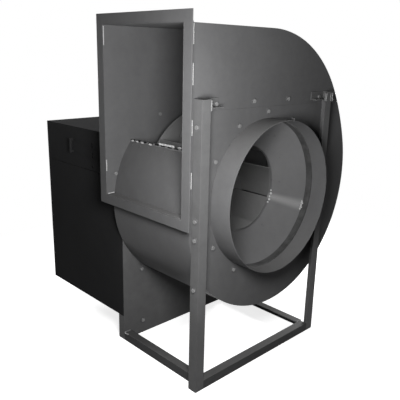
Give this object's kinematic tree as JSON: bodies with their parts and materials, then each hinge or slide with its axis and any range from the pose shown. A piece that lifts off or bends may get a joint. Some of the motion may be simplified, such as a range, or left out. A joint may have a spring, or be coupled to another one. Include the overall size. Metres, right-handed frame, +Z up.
{
  "type": "pressurization fan",
  "caption": "Belt-driven centrifugal pressurization fan on an angle-bar stand, with scroll casing, inlet collar and cone, flanged side discharge, bladed impeller and rear drive enclosure.",
  "frame": {"origin": "on the floor under the shaft axis, at the front face of the stand's front posts", "axes": "+X right as seen from the inlet, away from the discharge; +Y along the shaft from the inlet to the drive; +Z up"},
  "size_m": [1.2284, 1.3885, 1.6651],
  "materials": {
    "casing_paint": "satin dark grey paint",
    "stand_paint": "satin dark grey paint",
    "enclosure_paint": "satin black grey paint",
    "wheel_paint": "satin grey paint",
    "plated_bolts": "zinc plated",
    "shaft_steel": "ground",
    "cast_parts": "cast",
    "motor_paint": "grey enamel",
    "rubber_parts": "matt black",
    "fan_plastic": "matt black"
  },
  "bodies": {
    "casing": {"bearing_bolts": "plated_bolts", "bearing_shelf": "stand_paint", "clip_bolts": "plated_bolts", "cutoff_bar": "casing_paint", "cutoff_rivets": "plated_bolts", "discharge_flange": "casing_paint", "drive_cross_beams": "enclosure_paint", "enclosure_frame": "enclosure_paint", "enclosure_left_panel": "enclosure_paint", "enclosure_rear_panel": "enclosure_paint", "enclosure_right_panel": "enclosure_paint", "enclosure_top_panel": "enclosure_paint", "front_bearing_housing": "cast_parts", "front_left_post": "stand_paint", "front_rail": "stand_paint", "front_right_post": "stand_paint", "front_side_plate": "casing_paint", "front_top_plate": "casing_paint", "inlet_collar": "casing_paint", "inlet_cone": "casing_paint", "inlet_ring_bolts": "plated_bolts", "inlet_seal": "rubber_parts", "joint_bolts": "plated_bolts", "joint_strip": "casing_paint", "left_rail": "stand_paint", "motor_end_shield": "motor_paint", "motor_fan_cowl": "motor_paint", "motor_frame": "motor_paint", "motor_slide_rails": "plated_bolts", "motor_terminal_box": "motor_paint", "outlet_floor": "casing_paint", "pedestal_bolts": "plated_bolts", "pedestal_plate": "stand_paint", "post_bolts": "plated_bolts", "post_clips": "stand_paint", "post_head_plates": "stand_paint", "rear_bearing_housing": "cast_parts", "rear_left_leg": "stand_paint", "rear_rail": "stand_paint", "rear_right_leg": "stand_paint", "rear_ring_bolts": "plated_bolts", "rear_side_plate": "casing_paint", "right_rail": "stand_paint", "scroll_wrap": "casing_paint", "shaft_seal": "rubber_parts", "shelf_gussets": "stand_paint", "v_belts": "rubber_parts"},
    "fan_rotor": {"wheel_backplate": "wheel_paint", "wheel_shroud": "wheel_paint", "wheel_blades": "wheel_paint", "wheel_hub": "wheel_paint", "hub_bolts": "plated_bolts", "fan_shaft": "shaft_steel", "shaft_end_cap": "plated_bolts", "driven_pulley": "cast_parts", "front_bearing_insert": "shaft_steel", "rear_bearing_insert": "shaft_steel"},
    "motor_rotor": {"motor_rotor": "shaft_steel", "motor_fan": "fan_plastic", "motor_pulley": "cast_parts"}
  },
  "joints": [
    {"name": "fan_spin", "type": "hinge", "parent": "casing", "child": "fan_rotor", "pos_m": [0, 0.3, 0.86], "axis": [0, 1, 0], "continuous": true},
    {"name": "motor_spin", "type": "hinge", "parent": "casing", "child": "motor_rotor", "pos_m": [0, 0.9, 0.345], "axis": [0, 1, 0], "continuous": true}
  ],
  "couplings": [
    {"joint": "motor_spin", "follows": "fan_spin", "ratio": 1.4}
  ]
}
